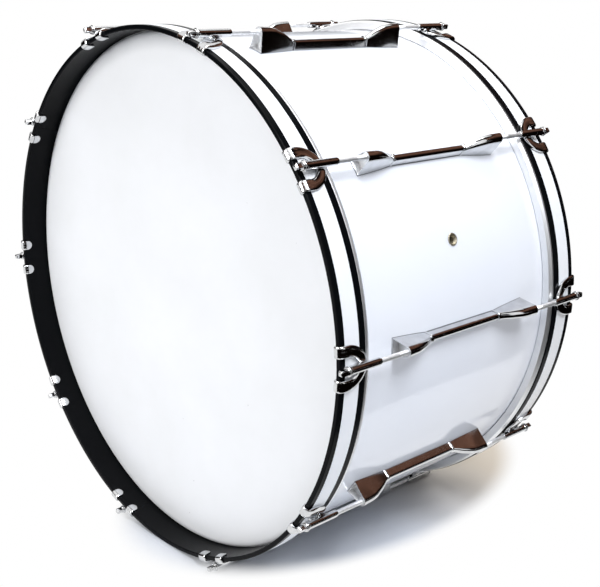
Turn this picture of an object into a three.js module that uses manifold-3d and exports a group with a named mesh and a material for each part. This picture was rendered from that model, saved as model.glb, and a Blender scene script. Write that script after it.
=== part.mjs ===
// Marching bass drum, 26 inches across and 14 inches deep.
// Lengths are millimetres and +Z is up. The drum lies on its two hoops with its axis along Y,
// and the head that faces the viewer is the one towards -Y. The origin is on the floor, below
// the middle of the shell.

import * as THREE from 'three';
import { mergeVertices } from 'three/addons/utils/BufferGeometryUtils.js';
import Module from 'manifold-3d';

// Clearance between pieces that touch, and how far a cutting shape runs past what it cuts
const fitGap = 0.3;
const cutOverrun = 6;

// Lugs, and claws at each end, stand at this many stations round the drum. Every round piece is
// a ring of flats, and its radii are those of its flats. Each station has an even number of
// them, so that one lies under each lug and each claw, and one on the floor.
const stations = 10;
const flatsPerStation = 4;
const stationTurn = 2 * Math.PI / stations;
const ringSides = stations * flatsPerStation;
const halfFlatTurn = Math.PI / ringSides;

// Shell: a plywood tube with a bevelled bearing edge at both ends
const shellDiameter = 660.4;
const shellDepth = 355.6;
const shellWall = 7;
const crestInset = 2.5;

// Drumheads: a polyester film locked into an aluminium flesh hoop, whose front lies this far
// behind the playing surface when the drum is tuned
const filmThickness = 0.25;
const collarDepth = 5.7;
const fleshHoopClearance = 1.4;
const fleshHoopLip = 1.2;
const fleshHoopWidth = 10.4;
const fleshHoopDepth = 7;
const filmTuck = 4;

// Wooden hoops, each with a plastic inlay let into a groove. A hoop presses on the flesh hoop
// and stands a little further out than it.
const hoopProud = 2;
const hoopThickness = 6;
const hoopWidth = 39.4;
const hoopEdgeRound = 1.6;
const frontBand = 7.7;
const inlayWidth = 21.4;
const inlayThickness = 0.8;

// Tension rods: a threaded rod with a square key head, a flange and a washer. Their middles lie
// this far outside the hoops.
const rodStandOff = 9;
const rodDiameter = 5.5;
const rodSides = 8;
const rodEngagement = 18;
const keySquare = 6.4;
const keyLength = 9;
const flangeDiameter = 10.4;
const flangeThickness = 2.2;
const washerDiameter = 12;
const washerThickness = 1.1;

// Claws: a cast arch over the hoop, two hooks round its front edge, and a tube for the rod
const hookSpacing = 38;
const hookWidth = 13.5;
const hookWall = 3;
const hookNose = 1.8;
const tongueThickness = 2.4;
const tongueReach = 11;
const archThickness = 4.6;
const archBandWidth = 10;
const archDepth = 37;
const archSteps = 6;
const tubeStart = 4;
const tubeLength = 48;
const tubeFrontDiameter = 10;
const tubeRearDiameter = 8.6;
const ribWidth = 4.4;

// Lugs: one casting, flared at both ends, with a narrow bar between them. A lug ends this far
// short of each end of the shell.
const lugSetback = 59.8;
const lugEndBevel = 1.2;
const lugEndHalfWidth = 11;
const barrelDiameter = 12;
const flareLength = 56;
const barHalfWidth = 5.2;
const barTopHalfWidth = 3.7;
const barHeight = 11.4;
const collarHalfWidth = 6.2;
const collarHeight = 12.6;
const collarLength = 4;
const boreEndSpace = 2;

// Screws that hold each lug from inside the shell, this far in from the ends of the lug
const lugScrewInset = 30;
const lugScrewDiameter = 5;
const lugScrewHeadDiameter = 10;
const lugScrewHeadThickness = 2.6;
const lugScrewSides = 6;

// Air vent: a grommet through the shell, halfway between the second and the third lug
const ventStation = 2;
const ventSides = 10;
const ventBarrelDiameter = 11;
const ventWall = 1.5;
const ventFlangeWidth = 2.5;
const ventFlangeThickness = 1.3;
const ventRim = 0.6;
const ventInnerFlangeWidth = 1.75;
const ventInnerFlangeThickness = 0.9;

// Distances that follow from the sizes above
const shellRadius = shellDiameter / 2;
const shellInnerRadius = shellRadius - shellWall;
const crestRadius = shellRadius - crestInset;
const fleshHoopInnerRadius = shellRadius + fleshHoopClearance;
const fleshHoopRadius = fleshHoopInnerRadius + fleshHoopWidth;
const hoopRadius = fleshHoopRadius + hoopProud;
const hoopInnerRadius = hoopRadius - hoopThickness;
const hoopRear = collarDepth - fitGap;
const hoopFront = hoopRear - hoopWidth;
const rodCircle = hoopRadius + rodStandOff;
const headPlane = shellDepth / 2 + fitGap + filmThickness;
const axisHeight = hoopRadius;
const lugLength = shellDepth - 2 * lugSetback;
const lugScrewSpacing = lugLength - 2 * lugScrewInset;
const ventAngle = stationTurn * ventStation;

// Two vertices closer together than this share a corner
const weldDistance = fitGap / 300;

const wasm = await Module();
wasm.setup();

// A closed mesh as a solid that can be joined and cut
function solidOf(geometry) {
  const bare = geometry.clone();
  bare.deleteAttribute('normal');
  bare.deleteAttribute('uv');
  const welded = mergeVertices(bare, weldDistance);
  const corners = welded.index.array;
  const triangles = [];
  for (let i = 0; i < corners.length; i += 3) {
    const [a, b, c] = corners.slice(i, i + 3);
    if (a !== b && b !== c && c !== a) {
      triangles.push(a, b, c);
    }
  }
  const mesh = new wasm.Mesh({
    numProp: 3,
    vertProperties: new Float32Array(welded.attributes.position.array),
    triVerts: new Uint32Array(triangles),
  });
  return new wasm.Manifold(mesh);
}

function geometryOf(solid) {
  const mesh = solid.getMesh();
  const geometry = new THREE.BufferGeometry();
  geometry.setAttribute('position', new THREE.BufferAttribute(mesh.vertProperties, 3));
  geometry.setIndex(new THREE.BufferAttribute(mesh.triVerts, 1));
  geometry.computeVertexNormals();
  return geometry;
}

// A section revolved about the Y axis, with a flat at the top and the bottom. The section is
// given anticlockwise as radius, measured to the middle of a flat, and distance along Y.
function revolve(section) {
  const corner = 1 / Math.cos(halfFlatTurn);
  const points = section.map(([radius, along]) => new THREE.Vector2(radius * corner, along));
  return new THREE.LatheGeometry(points, ringSides, halfFlatTurn);
}

// A ring from its closed section
function ringOf(section) {
  return revolve([...section, section[0]]);
}

// A plug that points outwards at the top of the drum, from one distance off the axis to another
function radialPlug(radius, from, to, sides) {
  const plug = new THREE.CylinderGeometry(radius, radius, to - from, sides);
  plug.rotateX(Math.PI / 2);
  plug.translate(0, 0, (from + to) / 2);
  return plug;
}

// A round bar along Y at the rod circle, at the top of the drum
function rodBar(startRadius, endRadius, from, to) {
  const bar = new THREE.CylinderGeometry(endRadius, startRadius, to - from, rodSides);
  bar.translate(0, (from + to) / 2, rodCircle);
  return bar;
}

// A prism that stands on the XY plane from one height to another, from its outline
function prism(outline, from, to) {
  const shape = new THREE.Shape(outline.map(([x, y]) => new THREE.Vector2(x, y)));
  const block = new THREE.ExtrudeGeometry(shape, { depth: to - from, bevelEnabled: false });
  block.translate(0, 0, from);
  return block;
}

// Points of an arc, its angles measured from +X towards +Y
function arcPoints(centreX, centreY, radiusX, radiusY, fromAngle, toAngle, steps) {
  const points = [];
  for (let i = 0; i <= steps; i += 1) {
    const angle = fromAngle + (toAngle - fromAngle) * i / steps;
    points.push([centreX + radiusX * Math.cos(angle), centreY + radiusY * Math.sin(angle)]);
  }
  return points;
}

// A skin over a row of sections along Y, each the same number of X and Z points, with flat ends
function loft(sections) {
  const count = sections[0].points.length;
  const positions = [];
  for (const { along, points } of sections) {
    for (const [x, z] of points) {
      positions.push(x, along, z);
    }
  }
  const index = [];
  for (let row = 0; row < sections.length - 1; row += 1) {
    for (let i = 0; i < count; i += 1) {
      const a = row * count + i;
      const b = row * count + (i + 1) % count;
      index.push(a, b + count, b, a, a + count, b + count);
    }
  }
  const outline = sections[0].points.map(([x, z]) => new THREE.Vector2(x, z));
  const lastRow = (sections.length - 1) * count;
  for (const [a, b, c] of THREE.ShapeUtils.triangulateShape(outline, [])) {
    index.push(a, b, c, lastRow + a, lastRow + c, lastRow + b);
  }
  const geometry = new THREE.BufferGeometry();
  geometry.setAttribute('position', new THREE.Float32BufferAttribute(positions, 3));
  geometry.setIndex(index);
  return geometry;
}

// Finishes, read from the photograph
function gloss(colour, roughness) {
  return new THREE.MeshStandardMaterial({ color: colour, roughness, metalness: 0 });
}

function metal(colour, roughness) {
  return new THREE.MeshStandardMaterial({ color: colour, roughness, metalness: 1 });
}

const whiteWrap = () => gloss(0xf1f2f6, 0.12);
const blackLacquer = () => gloss(0x0d0e0d, 0.18);
const whiteInlay = () => gloss(0xeeeef2, 0.2);
const whiteFilm = () => gloss(0xf7f7f5, 0.4);
const aluminium = () => metal(0xc4c5c7, 0.35);
const chrome = () => metal(0xd9d9dc, 0.06);

// Shell

function makeShell() {
  const half = shellDepth / 2;
  const innerDrop = crestRadius - shellInnerRadius;
  const tube = ringOf([
    [shellInnerRadius, innerDrop - half],
    [crestRadius, -half],
    [shellRadius, crestInset - half],
    [shellRadius, half - crestInset],
    [crestRadius, half],
    [shellInnerRadius, half - innerDrop],
  ]);
  const from = shellInnerRadius - cutOverrun;
  const to = shellRadius + cutOverrun;
  const ventHole = radialPlug(ventBarrelDiameter / 2 + fitGap, from, to, ventSides);
  ventHole.rotateY(ventAngle);
  let shell = solidOf(tube).subtract(solidOf(ventHole));
  for (let station = 0; station < stations; station += 1) {
    for (const side of [-1, 1]) {
      const hole = radialPlug(lugScrewDiameter / 2 + fitGap, from, to, lugScrewSides);
      hole.translate(0, side * lugScrewSpacing / 2, 0);
      hole.rotateY(stationAngle(station));
      shell = shell.subtract(solidOf(hole));
    }
  }
  return geometryOf(shell);
}

function makeVentGrommet() {
  const barrel = ventBarrelDiameter / 2;
  const bore = barrel - ventWall;
  const flange = barrel + ventFlangeWidth;
  const innerFlange = barrel + ventInnerFlangeWidth;
  const outerSeat = shellRadius + fitGap;
  const innerSeat = shellInnerRadius - fitGap;
  const top = outerSeat + ventFlangeThickness;
  const points = [
    [bore, innerSeat - ventInnerFlangeThickness],
    [innerFlange, innerSeat - ventInnerFlangeThickness],
    [innerFlange, innerSeat],
    [barrel, innerSeat],
    [barrel, outerSeat],
    [flange, outerSeat],
    [flange, outerSeat + ventRim],
    [flange - ventRim, top],
    [bore, top],
    [bore, innerSeat - ventInnerFlangeThickness],
  ];
  const grommet = new THREE.LatheGeometry(points.map(([x, y]) => new THREE.Vector2(x, y)), ventSides);
  grommet.rotateX(Math.PI / 2);
  return grommet;
}

// Drumhead. Each end of the drum is drawn from its playing surface, which is at Y zero, with
// the middle of the shell towards +Y.

// The outer radius of the film's collar where it stands in the flesh hoop
const collarRadius = fleshHoopInnerRadius + fleshHoopLip + fitGap + filmThickness;

function makeDrumhead() {
  const bend = crestRadius + fitGap;
  const collarEnd = collarDepth + filmTuck - fitGap;
  const edgeRadius = shellRadius + fitGap;
  const edgeDepth = filmThickness + crestInset;
  const film = revolve([
    [0, 0],
    [bend + filmThickness / 2, 0],
    [edgeRadius + filmThickness, edgeDepth],
    [collarRadius, collarDepth],
    [collarRadius, collarEnd],
    [collarRadius - filmThickness, collarEnd],
    [collarRadius - filmThickness, collarDepth],
    [edgeRadius, edgeDepth],
    [bend, filmThickness],
    [0, filmThickness],
  ]);
  return geometryOf(solidOf(film));
}

function makeFleshHoop() {
  const inner = fleshHoopInnerRadius;
  const outer = fleshHoopRadius;
  const slotInner = collarRadius - filmThickness - fitGap;
  const slotOuter = collarRadius + fitGap;
  const bottom = collarDepth + fleshHoopDepth;
  return ringOf([
    [inner, collarDepth],
    [slotInner, collarDepth],
    [slotInner, collarDepth + filmTuck],
    [slotOuter, collarDepth + filmTuck],
    [slotOuter, collarDepth],
    [outer, collarDepth],
    [outer, bottom],
    [inner, bottom],
  ]);
}

// Hoop and inlay

const grooveStart = hoopFront + frontBand;
const grooveEnd = grooveStart + inlayWidth + 2 * fitGap;
const grooveFloor = hoopRadius - inlayThickness - fitGap;

function makeHoop() {
  return ringOf([
    [hoopInnerRadius, hoopFront],
    [hoopRadius - hoopEdgeRound, hoopFront],
    [hoopRadius, hoopFront + hoopEdgeRound],
    [hoopRadius, grooveStart],
    [grooveFloor, grooveStart],
    [grooveFloor, grooveEnd],
    [hoopRadius, grooveEnd],
    [hoopRadius, hoopRear],
    [hoopInnerRadius, hoopRear],
  ]);
}

function makeInlay() {
  return ringOf([
    [grooveFloor + fitGap, grooveStart + fitGap],
    [hoopRadius, grooveStart + fitGap],
    [hoopRadius, grooveEnd - fitGap],
    [grooveFloor + fitGap, grooveEnd - fitGap],
  ]);
}

// Claw, drawn at the top of the drum. It seats on the hoop's flats, so its underside and its
// hooks are sections revolved about the drum's axis, trimmed to an outline seen from above.

function makeClaw() {
  const seat = hoopRadius + fitGap;
  const top = seat + archThickness;
  const frontFace = hoopFront - fitGap - hookWall;
  const tongueTop = hoopInnerRadius - fitGap;
  const tongueBottom = tongueTop - tongueThickness;
  const tongueEnd = hoopFront + tongueReach;
  const archEnd = hoopFront + archDepth;
  const outerHalf = (hookSpacing + hookWidth) / 2;
  const innerHalf = (hookSpacing - hookWidth) / 2;
  const low = tongueBottom - cutOverrun;
  const high = top + cutOverrun;

  const plate = ringOf([
    [seat, frontFace],
    [top - hookNose, frontFace],
    [top, frontFace + hookNose],
    [top, archEnd + cutOverrun],
    [seat, archEnd + cutOverrun],
  ]);
  const straight = archEnd - outerHalf;
  const archOutline = [
    [innerHalf, frontFace - cutOverrun],
    [outerHalf, frontFace - cutOverrun],
    ...arcPoints(0, straight, outerHalf, outerHalf, 0, Math.PI, archSteps),
    [-outerHalf, frontFace - cutOverrun],
    [-innerHalf, frontFace - cutOverrun],
    ...arcPoints(0, straight, innerHalf, outerHalf - archBandWidth, Math.PI, 0, archSteps),
  ];
  const arch = solidOf(plate).intersect(solidOf(prism(archOutline, low, high)));

  const hookSection = ringOf([
    [tongueBottom, frontFace + hookNose],
    [tongueBottom + hookNose, frontFace],
    [seat, frontFace],
    [seat, hoopFront - fitGap],
    [tongueTop, hoopFront - fitGap],
    [tongueTop, tongueEnd],
    [tongueBottom, tongueEnd],
  ]);
  let hooks = null;
  for (const side of [-1, 1]) {
    const centre = side * hookSpacing / 2;
    const half = hookWidth / 2;
    const outline = [
      [centre - half, frontFace - cutOverrun],
      [centre + half, frontFace - cutOverrun],
      ...arcPoints(centre, tongueEnd - half, half, half, 0, Math.PI, archSteps / 2),
    ];
    const hook = solidOf(hookSection).intersect(solidOf(prism(outline, low, high)));
    hooks = hooks ? hooks.add(hook) : hook;
  }

  const tubeFront = hoopFront + tubeStart;
  const tubeEnd = tubeFront + tubeLength;
  const tube = rodBar(tubeFrontDiameter / 2, tubeRearDiameter / 2, tubeFront, tubeEnd);
  const rib = new THREE.BoxGeometry(ribWidth, archEnd - tubeFront, rodCircle - seat);
  rib.translate(0, (archEnd + tubeFront) / 2, (rodCircle + seat) / 2);
  const boreRadius = (rodDiameter / 2 + fitGap) / Math.cos(Math.PI / rodSides);
  const bore = rodBar(boreRadius, boreRadius, tubeFront - cutOverrun, tubeEnd + cutOverrun);
  const body = arch.add(hooks).add(solidOf(tube)).add(solidOf(rib));
  return geometryOf(body.subtract(solidOf(bore)));
}

// Tension rod, drawn at the top of the drum

function makeTensionRod() {
  const seat = hoopFront + tubeStart - fitGap;
  const washerFront = seat - washerThickness;
  const flangeFront = washerFront - flangeThickness;
  const rodEnd = headPlane - lugLength / 2 + rodEngagement;
  const points = [
    [0, flangeFront],
    [flangeDiameter / 2, flangeFront],
    [flangeDiameter / 2, washerFront],
    [washerDiameter / 2, washerFront],
    [washerDiameter / 2, seat],
    [rodDiameter / 2, seat],
    [rodDiameter / 2, rodEnd],
    [0, rodEnd],
  ].map(([x, y]) => new THREE.Vector2(x, y));
  const rod = new THREE.LatheGeometry(points, rodSides);
  rod.translate(0, 0, rodCircle);
  const key = new THREE.BoxGeometry(keySquare, keyLength + flangeThickness / 2, keySquare);
  key.translate(0, flangeFront - keyLength / 2 + flangeThickness / 4, rodCircle);
  return geometryOf(solidOf(rod).add(solidOf(key)));
}

// Lug, drawn at the top of the drum, its middle at Y zero. Each row of the table is one
// section: its place along the flare, its half width at the shell, the radius of its barrel,
// and the height of its crown.

const lugSeat = shellRadius + fitGap;
const barrelRadius = barrelDiameter / 2;
const crownHeight = rodCircle + barrelRadius - lugSeat;

function lugSection(along, halfWidth, barrel, crown) {
  const centre = lugSeat + crown - barrel;
  const shoulder = barrel * Math.SQRT1_2;
  const side = [
    [halfWidth, lugSeat],
    [barrel, centre],
    [shoulder, centre + shoulder],
  ];
  const mirrored = side.map(([x, z]) => [-x, z]).reverse();
  return { along, points: [...side, [0, lugSeat + crown], ...mirrored] };
}

function makeLug() {
  const end = lugLength / 2;
  const flareShares = [0.34, 0.8];
  const widthShares = [0.6, 0.48];
  const barrelShares = [0.98, 0.8];
  const crownShares = [0.96, 0.62];
  const rows = [
    [end, lugEndHalfWidth - lugEndBevel, barrelRadius - lugEndBevel, crownHeight - lugEndBevel],
    [end - lugEndBevel, lugEndHalfWidth, barrelRadius, crownHeight],
  ];
  flareShares.forEach((share, i) => {
    rows.push([
      end - flareLength * share,
      lugEndHalfWidth * widthShares[i],
      barrelRadius * barrelShares[i],
      crownHeight * crownShares[i],
    ]);
  });
  const collar = end - flareLength;
  rows.push([collar + collarLength / 2, collarHalfWidth, collarHalfWidth, collarHeight]);
  rows.push([collar, barHalfWidth, barTopHalfWidth, barHeight]);
  const near = rows.map(([along, ...sizes]) => lugSection(-along, ...sizes));
  const far = rows.map(([along, ...sizes]) => lugSection(along, ...sizes)).reverse();
  let lug = solidOf(loft([...near, ...far]));

  const boreRadius = (rodDiameter / 2 + fitGap) / Math.cos(Math.PI / rodSides);
  const boreEnd = end - rodEngagement - boreEndSpace;
  const studFoot = shellInnerRadius - fitGap;
  for (const side of [-1, 1]) {
    const bore = rodBar(boreRadius, boreRadius, boreEnd, end + cutOverrun);
    const stud = radialPlug(lugScrewDiameter / 2, studFoot, lugSeat + barHeight, lugScrewSides);
    const headRadius = lugScrewHeadDiameter / 2;
    const head = radialPlug(headRadius, studFoot - lugScrewHeadThickness, studFoot, lugScrewSides);
    for (const piece of [stud, head]) {
      piece.translate(0, side * lugScrewSpacing / 2, 0);
    }
    if (side < 0) {
      bore.rotateZ(Math.PI);
    }
    lug = lug.add(solidOf(stud)).add(solidOf(head)).subtract(solidOf(bore));
  }
  return geometryOf(lug);
}

// Assembly

// Stations count clockwise from the top, seen from the front
function stationAngle(station) {
  return stationTurn * (station + 1 / 2);
}

function place(group, name, geometry, material, angle = 0) {
  const mesh = new THREE.Mesh(geometry, material);
  mesh.name = name;
  mesh.rotation.y = angle;
  group.add(mesh);
}

const hoop = makeHoop();
const inlay = makeInlay();
const fleshHoop = makeFleshHoop();
const drumhead = makeDrumhead();
const claw = makeClaw();
const tensionRod = makeTensionRod();
const lug = makeLug();

// One end of the drum. The rear end is the front end turned half round about Z, so its
// stations run the other way.
function makeEnd(end) {
  const group = new THREE.Group();
  const rear = end === 'rear';
  group.position.y = rear ? headPlane : -headPlane;
  group.rotation.z = rear ? Math.PI : 0;
  place(group, `hoop_${end}`, hoop, blackLacquer());
  place(group, `hoop_inlay_${end}`, inlay, whiteInlay());
  place(group, `flesh_hoop_${end}`, fleshHoop, aluminium());
  place(group, `drumhead_${end}`, drumhead, whiteFilm());
  for (let station = 0; station < stations; station += 1) {
    const angle = rear ? -stationAngle(station) : stationAngle(station);
    const number = String(station + 1).padStart(2, '0');
    place(group, `claw_${end}_${number}`, claw, chrome(), angle);
    place(group, `tension_rod_${end}_${number}`, tensionRod, chrome(), angle);
  }
  return group;
}

const drum = new THREE.Group();
drum.position.z = axisHeight;
place(drum, 'shell', makeShell(), whiteWrap());
place(drum, 'vent_grommet', makeVentGrommet(), chrome(), ventAngle);
for (let station = 0; station < stations; station += 1) {
  place(drum, `lug_${String(station + 1).padStart(2, '0')}`, lug, chrome(), stationAngle(station));
}
drum.add(makeEnd('front'));
drum.add(makeEnd('rear'));

const bassDrum = new THREE.Group();
bassDrum.add(drum);

export default bassDrum;
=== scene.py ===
# %% [markdown]
# # A marching bass drum, dressed for the camera
# The imported model already holds every solid of the drum in its true place, in metres, with
# the drum's axis along Y. This notebook keeps that frame and gives each piece the round
# edges, threads, plating and lacquer that the eye looks for on a real drum. Everything
# stays inside the solids' box.

# %% Load the imported model
import math
import bmesh
import bpy
from mathutils import Matrix, Vector


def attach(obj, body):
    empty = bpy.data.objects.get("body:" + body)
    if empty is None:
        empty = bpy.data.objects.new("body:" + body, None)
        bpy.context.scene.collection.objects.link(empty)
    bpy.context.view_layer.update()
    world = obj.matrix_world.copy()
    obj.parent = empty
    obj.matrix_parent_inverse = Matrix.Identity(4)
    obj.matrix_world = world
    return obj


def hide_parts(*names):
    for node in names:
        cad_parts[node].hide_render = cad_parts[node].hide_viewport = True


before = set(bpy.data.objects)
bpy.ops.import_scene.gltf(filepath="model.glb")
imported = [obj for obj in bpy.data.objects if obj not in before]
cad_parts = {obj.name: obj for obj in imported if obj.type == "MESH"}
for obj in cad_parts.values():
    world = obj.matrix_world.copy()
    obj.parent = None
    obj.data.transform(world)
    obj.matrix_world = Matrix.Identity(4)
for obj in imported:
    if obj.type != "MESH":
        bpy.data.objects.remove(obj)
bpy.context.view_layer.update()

# %% [markdown]
# The camera stands where the photographer's did: to the right of the front head, and
# higher than the middle of the drum. Its place, turn and lens come from a fit of a pinhole
# camera to the edges of both hoops, their stripes, the lugs and the vent. The small shift
# of the lens frames the drum as the photograph does.

# %% Camera
MM = 0.001  # a millimetre in Blender's metres
AXIS_HEIGHT = 344.0  # millimetres from the floor to the drum's axis
CAMERA_PLACE = (1.06621933, -0.91637046, 0.71365568)  # metres
CAMERA_TURN = (72.95159565, 0.183926, 47.02410404)  # degrees
FOCAL_LENGTH = 61.464912
LENS_SHIFT = (-0.028347, 0.036305)

camera = bpy.data.objects.new("camera", bpy.data.cameras.new("camera"))
bpy.context.collection.objects.link(camera)
camera.location = CAMERA_PLACE
camera.rotation_euler = [math.radians(degrees) for degrees in CAMERA_TURN]
camera.data.lens = FOCAL_LENGTH
camera.data.shift_x, camera.data.shift_y = LENS_SHIFT
bpy.context.scene.camera = camera
bpy.context.scene.view_settings.view_transform = "Standard"
to_drum = camera.location - Vector((0, 0, AXIS_HEIGHT * MM))
print("camera to the middle of the drum, m:", round(to_drum.length, 3))

# %% [markdown]
# Finishes come before shapes here, because each piece is given its own as it is made.
# Colours are written as sRGB hex, the way a paint card gives them, and one function
# turns them to the linear values that a renderer adds up. A second small function adds a
# node with its settings and links, for materials and for geometry alike. A third lets
# a pattern vary a finish, since no real surface is the same all over.

# %% Colour and node helpers
def linear(hex_colour):
    parts = [int(hex_colour[i:i + 2], 16) / 255 for i in (1, 3, 5)]
    return [c / 12.92 if c <= 0.04045 else ((c + 0.055) / 1.055) ** 2.4 for c in parts] + [1]


def add(tree, kind, links=None, **settings):
    node = tree.nodes.new(kind)
    for name, value in settings.items():
        setattr(node, name, value)
    for name, value in (links or {}).items():
        if isinstance(value, bpy.types.NodeSocket):
            tree.links.new(value, node.inputs[name])
        else:
            node.inputs[name].default_value = value
    return node


def start_finish(name):
    finish = bpy.data.materials.new(name)
    finish.use_nodes = True
    tree = finish.node_tree
    place = add(tree, "ShaderNodeTexCoord").outputs["Object"]
    return finish, tree, tree.nodes["Principled BSDF"], place


def feed(tree, shader, socket, output):
    tree.links.new(output, shader.inputs[socket])


def vary(tree, shader, pattern, colours=None, roughness=None, relief=None):
    # lets a pattern change a finish from place to place: its colour between two stops, its
    # roughness between two values, its surface by a bump of some strength and height; the
    # colour is given back, so that dirt or painted shade can be laid over it
    height = pattern.outputs["Fac"]
    if roughness:
        gloss = add(tree, "ShaderNodeMapRange",
                    {"Value": height, "To Min": roughness[0], "To Max": roughness[1]})
        feed(tree, shader, "Roughness", gloss.outputs["Result"])
    if relief:
        bump = add(tree, "ShaderNodeBump",
                   {"Height": height, "Strength": relief[0], "Distance": relief[1]})
        feed(tree, shader, "Normal", bump.outputs["Normal"])
    if colours:
        shade = add(tree, "ShaderNodeValToRGB", {"Fac": height})
        for stop, (position, colour) in zip(shade.color_ramp.elements, colours):
            stop.position, stop.color = position, linear(colour)
        feed(tree, shader, "Base Color", shade.outputs["Color"])
        return shade.outputs["Color"]


# %% [markdown]
# **White wrap.** The shell wears a sheet of white gloss plastic, glued on under heat. It
# is very smooth, but the glue line lets the light ripple softly over a few centimetres,
# and rubbing leaves patches that are a shade less glossy. Plastic has an IOR near 1.5.

# %% Gloss white wrap
white_wrap, tree, shader, place = start_finish("gloss_white_wrap")
shader.inputs["IOR"].default_value = 1.5
shader.inputs["Coat Weight"].default_value = 0.35
shader.inputs["Coat Roughness"].default_value = 0.04
# clouds 200 mm across, a shade apart
cloud = add(tree, "ShaderNodeTexNoise", {"Vector": place, "Scale": 5.0, "Detail": 3.0})
vary(tree, shader, cloud, colours=((0.3, "#f0f3f9"), (0.7, "#f5f7fb")))
# rubbed patches about 12 mm across
rub = add(tree, "ShaderNodeTexNoise", {"Vector": place, "Scale": 80.0, "Detail": 4.0})
vary(tree, shader, rub, roughness=(0.10, 0.20))
# ripples of the glue line, 25 mm apart and a hundredth of a millimetre high
ripple = add(tree, "ShaderNodeTexNoise", {"Vector": place, "Scale": 40.0, "Detail": 1.0})
vary(tree, shader, ripple, relief=(0.5, 0.02 * MM))

# %% [markdown]
# **Maple ply.** Inside, and on the bearing edges, the shell is bare maple: thin sheets
# with the grain turned from one to the next, sealed with a thin satin coat. The grain
# runs round the shell on the inside face, so the pattern is stretched along the drum's
# girth and tight along its depth.

# %% Maple ply
maple, tree, shader, place = start_finish("sealed_maple_ply")
shader.inputs["Roughness"].default_value = 0.45
# growth lines 4 mm apart along the depth
along = add(tree, "ShaderNodeMapping", {"Vector": place, "Scale": (12.0, 250.0, 12.0)})
grain = add(tree, "ShaderNodeTexNoise",
            {"Vector": along.outputs["Vector"], "Scale": 1.0, "Detail": 6.0})
vary(tree, shader, grain, colours=((0.35, "#b98d5a"), (0.65, "#e0c193")), relief=(0.4, 0.10 * MM))

# %% [markdown]
# **Black lacquer.** Both hoops are bent from maple ply and sprayed black, then buffed.
# The eye gets an almost black surface with clean thin highlights along its edges, a
# little orange peel from the spray gun, and fine rub marks where the drum has lain. Its
# specular level is set far below that of real lacquer, because in the photograph the
# inside of the hoop hardly mirrors the white head beside it.

# %% Buffed black lacquer
black_lacquer, tree, shader, place = start_finish("buffed_black_lacquer")
shader.inputs["IOR"].default_value = 1.5
shader.inputs["Specular IOR Level"].default_value = 0.04
shader.inputs["Coat Weight"].default_value = 0.03
shader.inputs["Coat Roughness"].default_value = 0.05
# clouds 70 mm across in the black
cloud = add(tree, "ShaderNodeTexNoise", {"Vector": place, "Scale": 14.0, "Detail": 4.0})
vary(tree, shader, cloud, colours=((0.0, "#050608"), (1.0, "#0e0f11")))
# rub marks 8 mm across
rub = add(tree, "ShaderNodeTexNoise", {"Vector": place, "Scale": 120.0, "Detail": 5.0})
vary(tree, shader, rub, roughness=(0.14, 0.30))
# orange peel, 2.5 mm from crest to crest
peel = add(tree, "ShaderNodeTexNoise", {"Vector": place, "Scale": 400.0, "Detail": 1.0})
vary(tree, shader, peel, relief=(0.3, 0.03 * MM))

# %% [markdown]
# **Inlay.** The stripe in each hoop is a strip of white plastic let into a groove. It is
# duller than the shell, with faint scuffs from cases and stands.

# %% Satin white strip
white_inlay, tree, shader, place = start_finish("satin_white_strip")
shader.inputs["IOR"].default_value = 1.49
# clouds 45 mm across
cloud = add(tree, "ShaderNodeTexNoise", {"Vector": place, "Scale": 22.0, "Detail": 4.0})
vary(tree, shader, cloud, colours=((0.25, "#f0f2f4"), (0.75, "#f5f6f7")))
# scuffs 6 mm across
rub = add(tree, "ShaderNodeTexNoise", {"Vector": place, "Scale": 160.0, "Detail": 4.0})
vary(tree, shader, rub, roughness=(0.27, 0.30))

# %% [markdown]
# **Head film.** A drumhead is a sheet of polyester, here a smooth opaque white. It has a
# soft sheen, not a mirror, with faint cloudy marks where beaters have polished it, and
# a few specks of dirt.

# %% Opaque white polyester film
white_film, tree, shader, place = start_finish("opaque_white_polyester_film")
shader.inputs["IOR"].default_value = 1.58
# beater marks 140 mm across
cloud = add(tree, "ShaderNodeTexNoise",
            {"Vector": place, "Scale": 7.0, "Detail": 5.0, "Roughness": 0.6})
shade = vary(tree, shader, cloud, colours=((0.3, "#f1f1f0"), (0.7, "#f7f7f7")),
             roughness=(0.30, 0.46))
# specks: one dot in each cell of 40 mm, drawn nearly 2 mm across so that it shows
speck = add(tree, "ShaderNodeTexVoronoi", {"Vector": place, "Scale": 25.0})
dot = add(tree, "ShaderNodeMath", {0: speck.outputs["Distance"], 1: 0.022},
          operation="LESS_THAN")
dirt = add(tree, "ShaderNodeMix", {"Factor": dot.outputs["Value"], 6: shade},
           data_type="RGBA")
dirt.inputs[7].default_value = linear("#d3d4d2")
feed(tree, shader, "Base Color", dirt.outputs[2])
# grit of the film, drawn 1.1 mm apart because the real one is too fine to show
grit = add(tree, "ShaderNodeTexNoise", {"Vector": place, "Scale": 900.0, "Detail": 2.0})
vary(tree, shader, grit, relief=(0.25, 0.03 * MM))

# %% [markdown]
# **Chrome.** Lugs and claws are zinc castings, plated and polished. Chrome shows what
# stands round it more than any colour of its own: here a white studio with dark brown
# cloth in it. The casting under it is never quite flat, and fingers leave a thin haze.

# %% Chrome on a casting
chrome, tree, shader, place = start_finish("chrome_on_zinc_casting")
shader.inputs["Metallic"].default_value = 1.0
# haze in patches of 11 mm
haze = add(tree, "ShaderNodeTexNoise", {"Vector": place, "Scale": 90.0, "Detail": 4.0})
vary(tree, shader, haze, colours=((0.3, "#cfd0d2"), (0.7, "#e1e2e3")), roughness=(0.05, 0.13))
# the casting's own waviness, 8 mm from crest to crest
wave = add(tree, "ShaderNodeTexNoise", {"Vector": place, "Scale": 125.0, "Detail": 1.0})
vary(tree, shader, wave, relief=(0.18, 0.08 * MM))

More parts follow.
